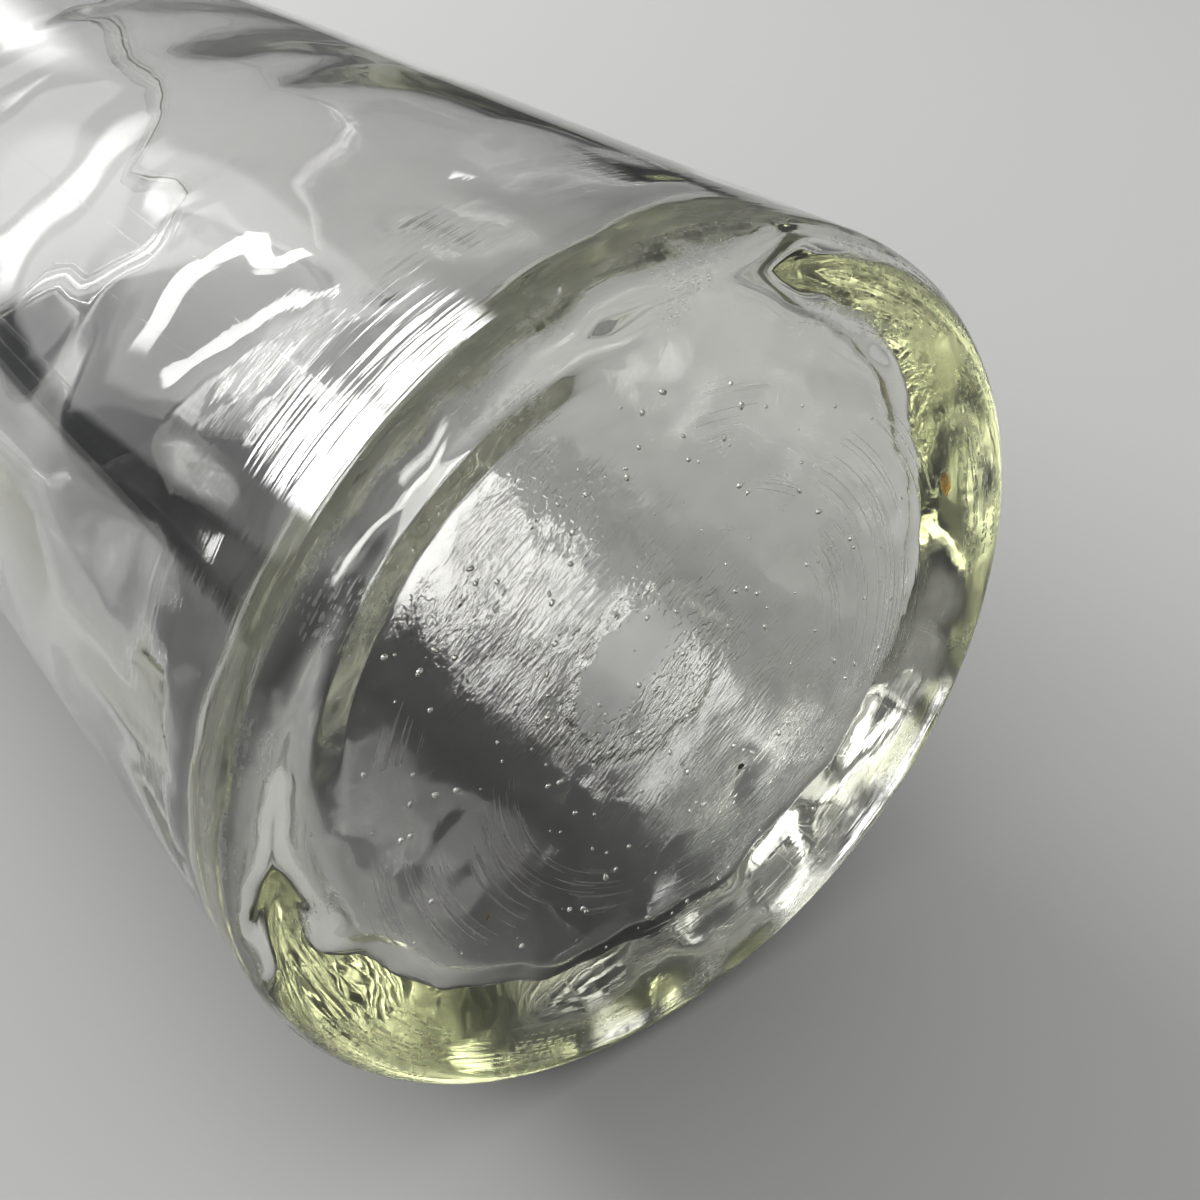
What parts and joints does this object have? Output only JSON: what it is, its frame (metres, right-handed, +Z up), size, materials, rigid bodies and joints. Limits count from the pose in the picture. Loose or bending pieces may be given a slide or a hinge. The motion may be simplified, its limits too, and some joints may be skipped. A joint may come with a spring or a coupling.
{
  "type": "glass cylinder vase",
  "caption": "Clear glass cylinder vase with a thick base, rounded heel, slightly uneven cavity and plain rounded rim, for cut flowers in water.",
  "frame": {"origin": "middle of the underside, at the height of the flat ring that the vase stands on", "axes": "+Z up along the axis of the round body, towards the mouth; +X and +Y are level, and the glass is thickest near +Y"},
  "size_m": [0.075, 0.075, 0.2],
  "materials": {
    "glass": "clear glass, fire-polished, faint yellow-green in thick edges"
  },
  "bodies": {
    "root": {"base": "glass", "wall": "glass", "rim": "glass"}
  },
  "joints": []
}
